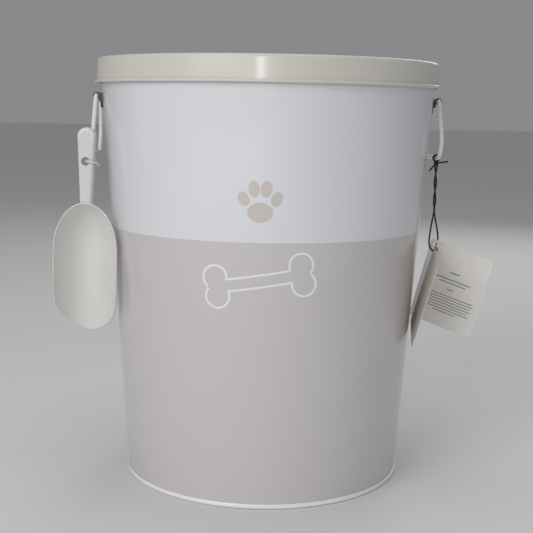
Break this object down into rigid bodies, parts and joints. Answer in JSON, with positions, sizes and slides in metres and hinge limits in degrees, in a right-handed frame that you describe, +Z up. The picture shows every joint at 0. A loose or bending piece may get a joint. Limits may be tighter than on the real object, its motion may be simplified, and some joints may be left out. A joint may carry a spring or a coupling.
{
  "type": "pet food bin",
  "caption": "Tall tapered round metal bin with a loose lid, wire side bails, a scoop hung from one bail and card tags from the other.",
  "frame": {"origin": "centre of the bin's round foot, on the floor", "axes": "+Z up along the bin's axis; the two bail handles are on -X (with the scoop) and +X (with the tags); -Y is the front that faces the viewer; the side seam is at +Y"},
  "size_m": [0.42, 0.3328, 0.4],
  "materials": {
    "body_paint": "gloss",
    "base_paint": "gloss",
    "hem_paint": "gloss",
    "lid_paint": "gloss",
    "ear_black": "satin",
    "rivet_steel": "satin",
    "steel_wire": "satin",
    "bail_white": "gloss",
    "scoop_enamel": "gloss",
    "tie_cord": "matte",
    "tag_cord": "matte",
    "card_white": "matte",
    "card_kraft": "matte"
  },
  "bodies": {
    "bin": {"body_shell": "body_paint", "rim_wire": "steel_wire", "base_pan": "base_paint", "base_hem": "hem_paint", "left_ear_clip": "ear_black", "right_ear_clip": "ear_black", "left_ear_rivets": "rivet_steel", "right_ear_rivets": "rivet_steel"},
    "lid": {"lid": "lid_paint"},
    "left_bail": {"left_bail": "bail_white"},
    "right_bail": {"right_bail": "bail_white"},
    "scoop_tie": {"scoop_tie": "tie_cord"},
    "scoop": {"scoop_bowl": "scoop_enamel", "scoop_handle": "scoop_enamel"},
    "swing_tags": {"tag_cord": "tag_cord", "cord_knot": "tag_cord", "front_swing_tag": "card_white", "back_swing_tag": "card_kraft"}
  },
  "joints": [
    {"name": "lid_lift", "type": "slide", "parent": "bin", "child": "lid", "axis": [0, 0, 1], "range_m": [0, 0.06]},
    {"name": "left_bail_swing", "type": "hinge", "parent": "bin", "child": "left_bail", "pos_m": [-0.1636, 0, 0.365], "axis": [0, 1, 0], "range_deg": [0, 155]},
    {"name": "right_bail_swing", "type": "hinge", "parent": "bin", "child": "right_bail", "pos_m": [0.1636, 0, 0.365], "axis": [0, -1, 0], "range_deg": [0, 157.5]},
    {"name": "tie_swing", "type": "hinge", "parent": "left_bail", "child": "scoop_tie", "pos_m": [-0.16595, 0, 0.31105], "axis": [0, 1, 0], "range_deg": [-155, 0]},
    {"name": "scoop_swing", "type": "hinge", "parent": "scoop_tie", "child": "scoop", "pos_m": [-0.1706, -0.056, 0.3045], "axis": [0.1392, 0.9903, -0.0024], "range_deg": [0, 20]},
    {"name": "tags_swing", "type": "hinge", "parent": "right_bail", "child": "swing_tags", "pos_m": [0.1636, 0, 0.311], "axis": [0, -1, 0], "range_deg": [-157.5, 0]}
  ],
  "couplings": [
    {"joint": "tie_swing", "follows": "left_bail_swing", "ratio": -1},
    {"joint": "tags_swing", "follows": "right_bail_swing", "ratio": -1}
  ]
}
